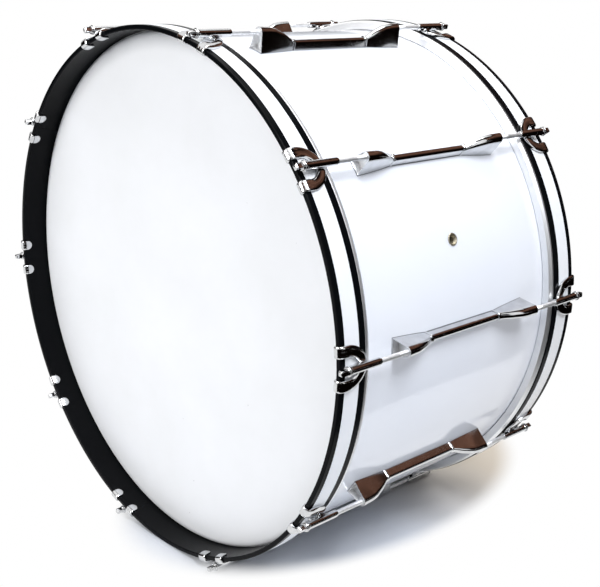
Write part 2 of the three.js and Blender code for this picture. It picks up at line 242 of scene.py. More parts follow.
# %% [markdown]
# **Plated steel.** Rods, nuts and screws are turned or rolled steel, plated in a drum and
# never polished. They are satin: they gather the light of the whole room and mirror
# nothing. The same finish serves inside the open ends of the lugs, where no wheel reaches.

# %% Plated steel
plated_steel, tree, shader, place = start_finish("plated_turned_steel")
shader.inputs["Metallic"].default_value = 1.0
# wear in patches of 4 mm
wear = add(tree, "ShaderNodeTexNoise", {"Vector": place, "Scale": 260.0, "Detail": 3.0})
vary(tree, shader, wear, colours=((0.3, "#e8e9ea"), (0.7, "#f6f6f6")), roughness=(0.50, 0.64))

# %% [markdown]
# **Aluminium.** Each head is held in a hoop of extruded aluminium. Only a thin line of it
# shows between the black hoop and the shell: pale, satin, with fine lines along it.

# %% Extruded aluminium
aluminium, tree, shader, place = start_finish("extruded_aluminium")
shader.inputs["Metallic"].default_value = 1.0
# die lines half a millimetre apart across the section
along = add(tree, "ShaderNodeMapping", {"Vector": place, "Scale": (6.0, 2000.0, 6.0)})
line = add(tree, "ShaderNodeTexNoise",
           {"Vector": along.outputs["Vector"], "Scale": 1.0, "Detail": 2.0})
vary(tree, shader, line, colours=((0.3, "#eceef0"), (0.7, "#f8f8f9")), roughness=(0.42, 0.55))

# %% [markdown]
# **Brass.** The vent's eyelet is pressed brass that has gone dull and uneven with age.
# **Gasket.** A thin grey plastic sheet lies under each lug, so that the casting doesn't
# mark the wrap.

# %% Aged brass and gasket plastic
aged_brass, tree, shader, place = start_finish("aged_pressed_brass")
shader.inputs["Metallic"].default_value = 1.0
# stains 2.4 mm across, rougher where they are dark
stain = add(tree, "ShaderNodeTexNoise", {"Vector": place, "Scale": 420.0, "Detail": 4.0})
vary(tree, shader, stain, colours=((0.35, "#a39b86"), (0.65, "#ddd6c2")), roughness=(0.62, 0.42))

gasket_plastic, tree, shader, place = start_finish("grey_gasket_plastic")
# dust in patches of 3 mm
dust = add(tree, "ShaderNodeTexNoise", {"Vector": place, "Scale": 300.0, "Detail": 3.0})
vary(tree, shader, dust, colours=((0.0, "#6d6f72"), (1.0, "#8b8d90")), roughness=(0.5, 0.7))
print("finishes:", len(bpy.data.materials))

# %% [markdown]
# ** Floor.** The drum stands on a pale floor that runs out to plain white, so only the
# shadow tells where it stands. Near the drum the floor is a real matt surface, so it keeps
# the shadow; behind the drum a painted warm shade darkens it further. Outside an ellipse
# that holds the shadow, the camera and the chrome see plain white instead. Sizes of the
# floor, the lamps and the flats are metres.

# %% Floor
FLOOR_HALF = 9
SHADOW_HALF = (0.25, 0.37)


def seen_directly(tree):
    # 1 for rays of the camera, of mirrors and of glass, 0 for light that falls on things
    ray = add(tree, "ShaderNodeLightPath").outputs
    seen = ray["Is Camera Ray"]
    for kind in ("Is Glossy Ray", "Is Transmission Ray"):
        either = add(tree, "ShaderNodeMath", {0: seen, 1: ray[kind]}, operation="MAXIMUM")
        seen = either.outputs["Value"]
    return seen


floor_mesh = bpy.data.meshes.new("floor")
corners = [(x * FLOOR_HALF, y * FLOOR_HALF, 0) for x, y in ((-1, -1), (1, -1), (1, 1), (-1, 1))]
floor_mesh.from_pydata(corners, [], [(0, 1, 2, 3)])
floor = bpy.data.objects.new("floor", floor_mesh)
bpy.context.collection.objects.link(floor)

floor_paint, tree, shader, place = start_finish("pale_studio_floor")
shader.inputs["Roughness"].default_value = 0.8
shader.inputs["Specular IOR Level"].default_value = 0.2
# scuffs 110 mm across
scuff = add(tree, "ShaderNodeTexNoise", {"Vector": place, "Scale": 9.0, "Detail": 3.0})
shade = vary(tree, shader, scuff, colours=((0.0, "#d0d3d8"), (1.0, "#d6d8dc")))
# painted shade: behind the drum the floor's colour turns warmer and darker, as a warm shadow
spot = add(tree, "ShaderNodeSeparateXYZ", {"Vector": place})
painted_shade_behind = add(tree, "ShaderNodeMapRange",
             {"Value": spot.outputs["Y"], "From Min": 0.05, "From Max": 0.30})
painted_warm_shade = add(tree, "ShaderNodeMix", {"Factor": painted_shade_behind.outputs["Result"], 6: shade},
           data_type="RGBA")
painted_warm_shade.inputs[7].default_value = linear("#c8beb0")
feed(tree, shader, "Base Color", painted_warm_shade.outputs[2])
# the ellipse's middle lies 0.1 m behind the drum's, which is 0.27 of its half length
from_shadow = add(tree, "ShaderNodeMapping",
                  {"Vector": place, "Scale": (1 / SHADOW_HALF[0], 1 / SHADOW_HALF[1], 1.0),
                   "Location": (0.0, -0.27, 0.0)})
reach = add(tree, "ShaderNodeVectorMath", {0: from_shadow.outputs["Vector"]},
            operation="LENGTH")
fade = add(tree, "ShaderNodeMapRange",
           {"Value": reach.outputs["Value"], "From Min": 0.84, "From Max": 1.0, "To Min": 0.0},
           interpolation_type="SMOOTHSTEP")
part = add(tree, "ShaderNodeMath", {0: fade.outputs["Result"], 1: seen_directly(tree)},
           operation="MULTIPLY")
glow = add(tree, "ShaderNodeEmission", {"Color": (1, 1, 1, 1), "Strength": 1.0})
both = add(tree, "ShaderNodeMixShader", {"Fac": part.outputs["Value"], 1: shader.outputs["BSDF"],
                                         2: glow.outputs["Emission"]})
tree.links.new(both.outputs["Shader"], tree.nodes["Material Output"].inputs["Surface"])
floor_mesh.materials.append(floor_paint)
print("floor, m:", 2 * FLOOR_HALF, "shadow kept within, m:", SHADOW_HALF)

# %% [markdown]
# **Light.** The world gives a dim cool fill, and is plain white where it is seen. Four
# large softboxes do the rest: together they light a face that looks up at about strength
# 1, at which a colour renders as it is written. The one behind the drum lights the rear
# head. It is hidden from mirrors, or it would fill the dark parts of the chrome.

# %% World
world = bpy.data.worlds.new("studio")
bpy.context.scene.world = world
world.use_nodes = True
tree = world.node_tree
soft = tree.nodes["Background"]
soft.inputs["Color"].default_value = linear("#e9eefa")
soft.inputs["Strength"].default_value = 0.25
plain = add(tree, "ShaderNodeBackground", {"Color": (1, 1, 1, 1), "Strength": 1.0})
both = add(tree, "ShaderNodeMixShader", {"Fac": seen_directly(tree),
                                         1: soft.outputs["Background"],
                                         2: plain.outputs["Background"]})
tree.links.new(both.outputs["Shader"], tree.nodes["World Output"].inputs["Surface"])

# %% Lamps
LIT_SPOT = (0, 0, 0.35)  # all lamps face the middle of the drum


def hang_lamp(name, spot, size, power, colour):
    lamp = bpy.data.lights.new(name, "AREA")
    lamp.shape = "RECTANGLE"
    lamp.size, lamp.size_y = size
    lamp.energy = power
    lamp.color = linear(colour)[:3]
    holder = bpy.data.objects.new(name, lamp)
    bpy.context.collection.objects.link(holder)
    holder.location = spot
    holder.rotation_euler = (Vector(LIT_SPOT) - Vector(spot)).to_track_quat("-Z", "Y").to_euler()
    return holder


hang_lamp("top_softbox", (0.0, 0.25, 2.5), (1.0, 1.2), 14, "#fffcf6")
hang_lamp("front_softbox", (-0.3, -2.6, 1.5), (1.2, 1.6), 47, "#ffffff")
hang_lamp("side_softbox", (1.7, -0.35, 2.5), (0.9, 1.2), 67, "#f4f8ff")
rear_softbox = hang_lamp("rear_softbox", (0.0, 2.6, 1.5), (1.2, 1.6), 36, "#ffffff")
rear_softbox.visible_glossy = False
print("lamps, W:", [lamp.energy for lamp in bpy.data.lights])

# %% [markdown]
# Chrome and black lacquer need something dark to reflect, or they turn to white plastic.
# A photographer stands dark flats round the set, leaves gaps between them, and lays cloth
# on the floor and over the set. These are seen only in reflections: they cast no shadow
# and take no light from the drum.

# %% Dark flats round the set
FLAT_DISTANCE = 3.4
FLAT_FOOT = 0.1
# arcs of the circle that the flats stand on, in degrees from +X, and how high each reaches
flat_arcs = [(-75, -48, 3.0), (-42, 0, 3.0), (18, 120, 4.6), (124, 178, 1.5), (186, 231, 3.0),
             (240, 276, 3.0)]
# level cloths: from X to X, from Y to Y, and their height. The first hangs over the set
level_cloths = [(0.9, 3.6, -1.0, 3.4, 4.6), (0.5, 3.2, -0.9, 3.2, 0.012),
                (-0.8, 0.5, 0.8, 3.2, 0.012), (0.15, 2.6, -2.6, -0.72, 0.012)]
corners, sheets = [], []
for start, stop, top in flat_arcs:
    for degrees in range(start, stop + 1, 3):
        angle = math.radians(degrees)
        spot = (FLAT_DISTANCE * math.cos(angle), FLAT_DISTANCE * math.sin(angle))
        if degrees > start:
            last = len(corners)
            sheets.append((last - 2, last, last + 1, last - 1))
        corners += [(*spot, FLAT_FOOT), (*spot, top)]
for x0, x1, y0, y1, z in level_cloths:
    first = len(corners)
    corners += [(x0, y0, z), (x1, y0, z), (x1, y1, z), (x0, y1, z)]
    sheets.append((first, first + 1, first + 2, first + 3))
flats_mesh = bpy.data.meshes.new("dark_flats")
flats_mesh.from_pydata(corners, [], sheets)
flats = bpy.data.objects.new("dark_flats", flats_mesh)
bpy.context.collection.objects.link(flats)
flats.visible_camera = False
flats.visible_diffuse = False
flats.visible_shadow = False
flats.visible_transmission = False
print("flats:", len(sheets), "sheets")

# %% [markdown]
# ** Flat cloth.** The brown cloth glows, painted light for a lit room: brighter in blotches
# 400 mm wide like folds, brightest 3 m above the floor and nearly black 2.4 m above and
# below that, so the chrome shows a painted reflection, brown looking up, black looking level.

# %% Brown flat cloth
# painted light: the cloth glows brownest at this height and fades to near black over this reach
PAINTED_GLOW_HEIGHT = 3.0
PAINTED_GLOW_REACH = 2.4
painted_reflection_cloth, tree, shader, place = start_finish("brown_painted_reflection_cloth")
painted_fold_light = add(tree, "ShaderNodeTexNoise", {"Vector": place, "Scale": 2.4, "Detail": 3.0})
spot = add(tree, "ShaderNodeSeparateXYZ", {"Vector": place})
climb = add(tree, "ShaderNodeMath", {0: spot.outputs["Z"], 1: PAINTED_GLOW_HEIGHT},
            operation="SUBTRACT")
climb = add(tree, "ShaderNodeMath", {0: climb.outputs["Value"]}, operation="ABSOLUTE")
painted_warm_glow = add(tree, "ShaderNodeMapRange", {"Value": climb.outputs["Value"],
                                          "From Max": PAINTED_GLOW_REACH, "To Min": 0.49,
                                          "To Max": -0.50})
painted_glow = add(tree, "ShaderNodeMath", {0: painted_fold_light.outputs["Fac"], 1: painted_warm_glow.outputs["Result"]},
          operation="ADD")
shade = add(tree, "ShaderNodeValToRGB", {"Fac": painted_glow.outputs["Value"]})
for stop, position, colour in zip(shade.color_ramp.elements, (0.36, 1.0),
                                  ("#070403", "#785546")):
    stop.position, stop.color = position, linear(colour)
glow = add(tree, "ShaderNodeEmission", {"Color": shade.outputs["Color"], "Strength": 1.0})
tree.links.new(glow.outputs["Emission"], tree.nodes["Material Output"].inputs["Surface"])
flats_mesh.materials.append(painted_reflection_cloth)

# %% [markdown]
# **Shapes.** All sizes below are millimetres, in a frame whose origin is on the drum's
# axis, halfway along it: X to the right, Y towards the rear head, Z up. One function
# turns such a point into the model's metres, and one closes a mesh up: doubles merged,
# faces turned outwards, and edges sharper than 35 degrees kept crisp.

# %% Shape helpers
TAU = 2 * math.pi
ROUND_STEPS = 240  # sides of every large round piece
CRISP_EDGE = math.radians(35)
SAME_SPOT = 2e-7  # metres


def metres(point):
    x, y, z = point
    return x * MM, y * MM, (z + AXIS_HEIGHT) * MM


def settle(mesh):
    shape = bmesh.new()
    shape.from_mesh(mesh)
    bmesh.ops.remove_doubles(shape, verts=shape.verts, dist=SAME_SPOT)
    bmesh.ops.recalc_face_normals(shape, faces=shape.faces)
    for face in shape.faces:
        face.smooth = True
    for edge in shape.edges:
        edge.smooth = edge.calc_face_angle(0.0) < CRISP_EDGE
    shape.to_mesh(mesh)
    shape.free()
    mesh.update()


def build(name, points, faces, *finishes):
    mesh = bpy.data.meshes.new(name)
    mesh.from_pydata([metres(p) for p in points], [], faces)
    for finish in finishes:
        mesh.materials.append(finish)
    settle(mesh)
    piece = bpy.data.objects.new(name, mesh)
    bpy.context.collection.objects.link(piece)
    return piece


def hand_over(piece, body, slot, *nodes):
    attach(piece, body)
    if nodes:
        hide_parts(*nodes)
    print(piece.name, len(piece.data.polygons), "faces")


# %% [markdown]
# Nothing on a drum has a knife edge, and it is the rounded edges that catch the light.
# This helper takes the corners of an outline, each with its own radius, and returns the
# outline with arcs. The extra point beside each arc keeps the flat face flat in shading.

# %% Rounded outlines
def rounded(corners, steps, guard):
    outline = []
    for i, (a, b, radius) in enumerate(corners):
        here = Vector((a, b))
        if not radius:
            outline.append((a, b))
            continue
        back = Vector(corners[i - 1][:2]) - here
        on = Vector(corners[(i + 1) % len(corners)][:2]) - here
        half = back.angle(on) / 2
        back.normalize()
        on.normalize()
        cut = radius / math.tan(half)
        centre = here + (back + on).normalized() * radius / math.sin(half)
        arm = here + back * cut - centre
        other = here + on * cut - centre
        turn = (math.pi - 2 * half) * (1 if arm.cross(other) > 0 else -1)
        outline.append(tuple(here + back * (cut + guard)))
        for k in range(steps + 1):
            angle = math.atan2(arm.y, arm.x) + turn * k / steps
            outline.append((centre.x + radius * math.cos(angle),
                            centre.y + radius * math.sin(angle)))
        outline.append(tuple(here + on * (cut + guard)))
    return outline


# %% [markdown]
# Two kinds of shape make up a drum. Round pieces are turned: a profile of radii and places
# along Y goes round the Y axis. Castings are lofted: a skin goes over a row of outlines.
# Both come down to the same job, faces between one ring of points and the next.

# %% Turned and lofted shapes
def stitched(rings, closed=False):
    # four-sided faces between neighbouring rings, three-sided ones where a ring is a pole
    faces = []
    for one, two in zip(rings, rings[1:] + rings[:1] if closed else rings[1:]):
        for i in range(len(one)):
            j = (i + 1) % len(one)
            corner = [one[i], two[i], two[j], one[j]]
            face = [v for k, v in enumerate(corner) if v != corner[k - 1]]
            if len(face) > 2:
                faces.append(face)
    return faces


def turned(profile, sides, closed=True):
    # a radius of nought is a closed pole
    points, rings = [], []
    for radius, y in profile:
        if radius == 0:
            rings.append([len(points)] * sides)
            points.append((0, y, 0))
            continue
        rings.append([len(points) + i for i in range(sides)])
        points += [(radius * math.sin(TAU * i / sides), y, radius * math.cos(TAU * i / sides))
                   for i in range(sides)]
    return points, stitched(rings, closed)


def lofted(outlines):
    # the outlines have the same number of points, and the first and the last are filled in
    around = len(outlines[0])
    rings = [list(range(i * around, (i + 1) * around)) for i in range(len(outlines))]
    points = [point for outline in outlines for point in outline]
    return points, stitched(rings) + [rings[0], rings[-1]]


# %% [markdown]
# **Shell.** A tube of thin ply, 26 inches across and 14 deep. Each end is cut to a
# bearing edge: a small round over on the outside and a bevel inside, so that the head
# rests on a narrow crest. It is turned from its section with two finishes, and the vent
# hole is cut with a boolean, as a drill would cut it.

# %% Shell
SHELL = 330.2
SHELL_INSIDE = 323.2
HALF_DEPTH = 177.8
ROUND_OVER = 2.5
BEVEL_DEPTH = 4.5
VENT_ANGLE = math.radians(72)
VENT_HOLE = 5.8
WRAP_REACH = 0.3  # faces nearer than this to the outside are wrap, the others bare ply

wall = [(SHELL, y) for y in (-120, -60, -20, -9, 9, 20, 60, 120)]
edge = []
for k in range(7):
    angle = math.pi / 2 * k / 6
    edge.append((SHELL - ROUND_OVER + ROUND_OVER * math.cos(angle),
                 HALF_DEPTH - ROUND_OVER + ROUND_OVER * math.sin(angle)))
edge += [(SHELL_INSIDE, y) for y in (HALF_DEPTH - BEVEL_DEPTH, 60, 9)]
points, faces = turned(wall + edge + [(r, -y) for r, y in edge[::-1]], ROUND_STEPS)
shell = build("shell_wrapped", points, faces, white_wrap, maple)
to_vent = Matrix.Rotation(VENT_ANGLE, 4, "Y") @ Matrix.Rotation(math.pi / 2, 4, "X")
points, faces = turned([(0, 310), (VENT_HOLE, 310), (VENT_HOLE, 340), (0, 340)], 48, False)
drill = build("drill", [to_vent @ Vector(p) for p in points], faces, maple)
cut = shell.modifiers.new("vent", "BOOLEAN")
cut.operation = "DIFFERENCE"
cut.solver = "EXACT"
cut.object = drill
evaluated = shell.evaluated_get(bpy.context.evaluated_depsgraph_get())
drilled = bpy.data.meshes.new_from_object(evaluated)
shell.modifiers.clear()
shell.data = drilled
bpy.data.objects.remove(drill)
settle(drilled)
for face in drilled.polygons:
    girth = math.hypot(face.center.x, face.center.z - AXIS_HEIGHT * MM) / MM
    face.material_index = 0 if girth > SHELL - WRAP_REACH else 1
hand_over(shell, "drum", "white_wrap", "shell")

# %% [markdown]
# **Vent.** Air has to leave when a head is struck. The vent is a pressed eyelet: a flange
# outside, a barrel through the wall, and a smaller flange rolled over inside.

# %% Vent eyelet
VENT_BORE = 4.0
VENT_BARREL = 5.5
# corners: radius, distance from the drum's axis, rounding; from the inner flange outwards
eyelet = rounded([(VENT_BORE, 322.1, 0.4), (7.2, 322.1, 0.4), (7.2, 322.9, 0.3),
                  (VENT_BARREL, 322.9, 0.0), (VENT_BARREL, 330.5, 0.0), (8.0, 330.5, 0.3),
                  (7.4, 331.75, 0.5), (6.0, 331.75, 0.4), (VENT_BORE, 328.6, 0.8)], 4, 0.05)
points, faces = turned(eyelet, 48)
vent = build("vent_eyelet", [to_vent @ Vector(p) for p in points], faces, aged_brass)
hand_over(vent, "drum", "chrome", "vent_grommet")

# %% [markdown]
# **Heads.** The film is pressed flat and then down over the bearing edge into a short
# collar, whose rim is locked in the flesh hoop. The collar slopes out as far as the inside
# of the black hoop, so no gap shows between them. The film is turned from its section:
# outside face first, then back along the inside, a quarter of a millimetre away.

# %% Drumheads
HEAD_PLANE = 178.35
FILM = 0.25
COLLAR_START = 328.6
COLLAR_REACH = 9.0
COLLAR_DROP = 5.4
RIM_END = 170.0

outer = [(r, HEAD_PLANE) for r in (0, 110, 220, 300, 328.4)]
for k in range(1, 8):
    angle = math.pi / 2 * k / 7
    outer.append((COLLAR_START + COLLAR_REACH * math.sin(angle),
                  HEAD_PLANE - COLLAR_DROP * (1 - math.cos(angle))))
outer.append((COLLAR_START + COLLAR_REACH, RIM_END))
# the inside lies below the flat part, and nearer the axis than the steep part
inner = [(r - FILM * (r > 332), y - FILM * (r < 337)) for r, y in outer]
points, faces = turned(outer + inner[::-1], ROUND_STEPS, False)
for end, side in (("front", -1), ("rear", 1)):
    facing = [(x, side * y, z) for x, y, z in points]
    head = build(f"head_film_{end}", facing, faces, white_film)
    hand_over(head, "drum", "white_film", f"drumhead_{end}")

# %% [markdown]
# **Hoops.** A bass drum hoop follows one rule: a flat section carried round the drum at
# one radius. Geometry Nodes say that in a handful of nodes, and one tree serves the
# flesh hoops, the black hoops and their stripes. The seed mesh is the section; its X is
# measured outwards from the ring's radius and its Y along the drum.

# %% Helpers for trees of geometry nodes
def start_tree(name, inputs, output):
    tree = bpy.data.node_groups.new(name, "GeometryNodeTree")
    for socket, kind in inputs:
        tree.interface.new_socket(socket, in_out="INPUT", socket_type="NodeSocket" + kind)
    tree.interface.new_socket(output, in_out="OUTPUT", socket_type="NodeSocketGeometry")
    return tree, add(tree, "NodeGroupInput").outputs


def end_tree(tree, geometry, finish, output):
    real = add(tree, "GeometryNodeRealizeInstances", {"Geometry": geometry})
    coated = add(tree, "GeometryNodeSetMaterial",
                 {"Geometry": real.outputs["Geometry"], "Material": finish})
    add(tree, "NodeGroupOutput", {output: coated.outputs["Geometry"]})


def run_tree(name, seed_mesh, node_tree, values):
    piece = bpy.data.objects.new(name, seed_mesh)
    bpy.context.collection.objects.link(piece)
    modifier = piece.modifiers.new("tree", "NODES")
    modifier.node_group = node_tree
    for socket in node_tree.interface.items_tree:
        if socket.in_out == "INPUT" and socket.name in values:
            modifier[socket.identifier] = values[socket.name]
    evaluated = piece.evaluated_get(bpy.context.evaluated_depsgraph_get())
    result = bpy.data.meshes.new_from_object(evaluated)
    piece.modifiers.clear()
    piece.data = result
    result.name = name
    # the new mesh has an empty slot before the finish, so its slots are set anew
    result.materials.clear()
    result.materials.append(values["Finish"])
    for face in result.polygons:
        face.material_index = 0
    settle(result)
    return piece


# %% A tree that carries a section round the drum
ring_inputs = (("Section", "Geometry"), ("Ring radius", "Float"), ("Steps round", "Int"),
               ("Axis height", "Float"), ("Finish", "Material"))
ring_tree, given = start_tree("section_round_drum", ring_inputs, "Ring")
path = add(ring_tree, "GeometryNodeCurvePrimitiveCircle",
           {"Resolution": given["Steps round"], "Radius": given["Ring radius"]})
profile = add(ring_tree, "GeometryNodeMeshToCurve", {"Mesh": given["Section"]})
swept = add(ring_tree, "GeometryNodeCurveToMesh",
            {"Curve": path.outputs["Curve"], "Profile Curve": profile.outputs["Curve"]})
height = add(ring_tree, "ShaderNodeCombineXYZ", {"Z": given["Axis height"]})
upright = add(ring_tree, "GeometryNodeTransform",
              {"Geometry": swept.outputs["Mesh"], "Translation": height.outputs["Vector"],
               "Rotation": (math.pi / 2, 0, 0)})
end_tree(ring_tree, upright.outputs["Geometry"], given["Finish"], "Ring")


def carry_round(name, outline, radius, finish):
    seed = bpy.data.meshes.new(name + "_section")
    spots = [((r - radius) * MM, y * MM, 0) for r, y in outline]
    seed.from_pydata(spots, [(i, (i + 1) % len(spots)) for i in range(len(spots))], [])
    return run_tree(name, seed, ring_tree,
                    {"Ring radius": radius * MM, "Steps round": ROUND_STEPS,
                     "Axis height": AXIS_HEIGHT * MM, "Finish": finish})


# %% [markdown]
# The black hoop is a band 39.4 mm wide and 6 mm thick, with a shallow groove for the
# stripe. Its four outer corners are rounded over by a router bit. The stripe fills the
# groove but for a hair line, and the flesh hoop is a channel whose back is chamfered.
# The sections are drawn for the rear of the drum, and mirrored for the front.

# %% Black hoops, stripes and flesh hoops
HOOP = 344.0
HOOP_INSIDE = 338.0
HOOP_FRONT = 212.35
HOOP_BACK = 172.95
GROOVE = (204.65, 182.65)
GROOVE_FLOOR = 342.9
STRIPE = (204.35, 182.95)
STRIPE_BACK = 343.2
FLESH_INSIDE = 331.0
FLESH_OUTSIDE = 343.0
FLESH = (172.65, 165.65)

hoop_section = rounded([(HOOP_INSIDE, HOOP_FRONT, 1.2), (HOOP, HOOP_FRONT, 1.0),
                        (HOOP, GROOVE[0], 0.2), (GROOVE_FLOOR, GROOVE[0], 0.1),
                        (GROOVE_FLOOR, GROOVE[1], 0.1), (HOOP, GROOVE[1], 0.2),
                        (HOOP, HOOP_BACK, 1.6), (HOOP_INSIDE, HOOP_BACK, 1.2)], 5, 0.15)
stripe_section = rounded([(STRIPE_BACK, STRIPE[0], 0.1), (HOOP, STRIPE[0], 0.25),
                          (HOOP, STRIPE[1], 0.25), (STRIPE_BACK, STRIPE[1], 0.1)], 3, 0.15)
flesh_section = rounded([(FLESH_INSIDE, FLESH[0], 0.2), (FLESH_OUTSIDE, FLESH[0], 0.5),
                         (FLESH_OUTSIDE, 169.8, 1.6), (340.5, FLESH[1], 0.8),
                         (FLESH_INSIDE, FLESH[1], 0.2)], 4, 0.12)
rings = (("black_hoop", hoop_section, HOOP, black_lacquer, "black_lacquer", "hoop"),
         ("white_stripe", stripe_section, HOOP, white_inlay, "white_inlay", "hoop_inlay"),
         ("flesh_hoop_channel", flesh_section, 342.0, aluminium, "aluminium", "flesh_hoop"))
for end, side in (("front", -1), ("rear", 1)):
    for name, section, radius, finish, slot, node in rings:
        facing = [(r, side * y) for r, y in section]
        ring = carry_round(f"{name}_{end}", facing, radius, finish)
        hand_over(ring, "drum", slot, f"{node}_{end}")

# %% [markdown]
# **Claws.** A claw is a cast arch lying on the hoop. Each foot turns over the hoop's
# front edge as a hook and ends in a round tongue inside it, and three ridges run down
# each hook. The tension rod passes through a tube on the arch's middle. The casting is
# one ribbon, carried from one tongue over the hoop and round the arch to the other, so
# its section can change from ridged hook to smooth arch on the way.

# %% Path of a claw's ribbon
ARCH_HALF = 25.75
ARCH_DEPTH = 37.0
ARCH_START = 8.0
ARCH_UNDERSIDE = 344.3
ARCH_TOP = 348.9
HOOK_HALF = 6.75
BAND_WIDTH = 12.0
TONGUE_STRAIGHT = 5.0
TONGUE_ROUND = 6.3


def wrap(across, y, radius):
    # a point on the hoop's surface: the distance across is measured round the hoop
    angle = across / HOOP
    return Vector((radius * math.sin(angle), y, radius * math.cos(angle)))


def smooth_line(knots, steps=3):
    # a Catmull-Rom curve through the knots
    line = []
    for i in range(len(knots) - 1):
        near = (knots[max(0, min(len(knots) - 1, i + k))] for k in (-1, 0, 1, 2))
        a, b, c, d = (Vector(knot) for knot in near)
        for k in range(steps):
            t = k / steps
            line.append(tuple(0.5 * (2 * b + (c - a) * t + (2 * a - 5 * b + 4 * c - d) * t * t
                                     + (3 * b - a - 3 * c + d) * t ** 3)))
    return line + [knots[-1]]


def claw_path():
    # each row: middle of the underside, middle of the top, half-width direction, ridge share
    # knots of the hook: distance behind the hoop's front edge, and from the drum's axis
    under = [(11.0, 337.7), (8.0, 337.7), (5.0, 337.7), (2.2, 337.7), (0.9, 337.75),
             (0.1, 338.0), (-0.3, 338.8), (-0.3, 340.2), (-0.3, 341.8), (-0.3, 343.2),
             (0.1, 344.0), (0.9, ARCH_UNDERSIDE), (2.6, ARCH_UNDERSIDE), (5.2, ARCH_UNDERSIDE)]
    top = [(11.0, 336.3), (8.2, 335.5), (5.4, 335.2), (2.6, 335.5), (0.4, 336.1),
           (-1.4, 336.9), (-2.7, 338.2), (-3.3, 340.2), (-3.2, 342.4), (-2.6, 344.3),
           (-1.5, 346.1), (0.3, 347.6), (2.6, 348.5), (5.2, ARCH_TOP)]
    rows = []
    middle = ARCH_HALF - HOOK_HALF
    for (d0, r0), (d1, r1) in zip(smooth_line(under), smooth_line(top)):
        along = max(d0 - TONGUE_STRAIGHT, 0) / TONGUE_ROUND
        tongue = min(1.0, math.sqrt(max(0.0, 1 - along ** 2)))
        rows.append(((middle, d0, r0), (middle, d1, r1), (HOOK_HALF * tongue, 0.0), 1.0))
    for k in range(13):
        angle = math.pi / 2 * k / 12
        length = ARCH_DEPTH - ARCH_START
        rim = Vector((ARCH_HALF * math.cos(angle), ARCH_START + length * math.sin(angle)))
        out = Vector((math.cos(angle) / ARCH_HALF, math.sin(angle) / length)).normalized()
        share = max(0.0, 1 - k / 2)
        width = BAND_WIDTH + (2 * HOOK_HALF - BAND_WIDTH) * max(0.0, 1 - k / 3)
        spot = rim - out * width / 2
        rows.append(((*spot, ARCH_UNDERSIDE), (*spot, ARCH_TOP), tuple(out * width / 2), share))
    other = [((-a[0], a[1], a[2]), (-b[0], b[1], b[2]), (-w[0], w[1]), s)
             for a, b, w, s in rows[-2::-1]]
    return rows + other


# %% [markdown]
# The ribbon's own section is drawn with shares, not millimetres: how far across it a point
# lies, and how far up, once for a ridged hook and once for the smooth crowned arch. Each
# row of the path mixes the two and bends the result round the hoop.

# %% Ribbon of a claw
def ribbon_section():
    # (across, up for a ridged hook, up for the smooth arch), shares of half width and height
    outline = [(-1.0, 0.12, 0.14), (-0.94, 0.0, 0.0), (0.0, 0.0, 0.0), (0.94, 0.0, 0.0),
               (1.0, 0.12, 0.14), (1.0, 0.55, 0.60)]
    for k in range(21):
        u = 1 - k / 10
        edge = 1 - abs(u) ** 10 * 0.30
        ridge = (0.988 + 0.012 * math.cos(3 * math.pi * u)) * edge
        crown = 1 - 0.22 * u * u - 0.10 * abs(u) ** 6
        outline.append((u * 0.985, ridge, crown))
    return outline + [(-1.0, 0.55, 0.60)]


outlines = []
for under, top, reach, share in claw_path():
    row = []
    for across, ridged, smooth in ribbon_section():
        up = ridged * share + smooth * (1 - share)
        spot = Vector(under).lerp(Vector(top), up)
        y = -HOOP_FRONT + spot.y + reach[1] * across
        row.append(wrap(spot.x + reach[0] * across, y, spot.z))
    outlines.append(row)
ribbon = lofted(outlines)
print("ribbon rows", len(outlines), "points in a section", len(outlines[0]))

# %% [markdown]
# The tube is turned about the rod's own line, 9 mm above the hoop. It has a small lip
# where the washer sits, narrows a little towards the lug, and stands on a short web cast
# onto the arch. Ribbon, tube and web are one casting, so they share a mesh.

# %% Tube and web of a claw
ROD_LINE = 353.0
TUBE_BORE = 3.3
WEB_HALF = 1.7


def on_rod_line(points):
    return [(x, y, z + ROD_LINE) for x, y, z in points]


def joined(*parts):
    points, faces = [], []
    for some_points, some_faces in parts:
        faces += [tuple(v + len(points) for v in face) for face in some_faces]
        points += [tuple(p) for p in some_points]
    return points, faces


# corners: radius, place along Y, rounding
tube = rounded([(TUBE_BORE, -208.35, 0.2), (5.0, -208.35, 0.5), (5.0, -206.2, 0.4),
                (4.6, -205.4, 0.3), (4.6, -184, 0.0), (4.5, -163.0, 1.0), (4.0, -160.4, 0.4),
                (TUBE_BORE, -160.4, 0.2)], 3, 0.1)
tube_points, tube_faces = turned(tube, 32)
web = [(-199, 344.6), (-199, 346), (-193, 350.5), (-176, 350.5), (-176, 344.6)]
web_sides = [[(side * WEB_HALF, y, z) for y, z in web] for side in (-1, 1)]
claw_points, claw_faces = joined(ribbon, (on_rod_line(tube_points), tube_faces),
                                 lofted(web_sides))
print("one claw:", len(claw_faces), "faces")

# %% [markdown]
# Everything on this drum stands at ten stations, 36 degrees apart, with the first one
# half a step from the top. A second tree sets copies of one piece at the stations, so
# the same rule serves claws, lugs, nuts, gaskets and screws.

# %% A tree that repeats a piece at the stations
STATIONS = 10
STATION_STEP = math.radians(36)

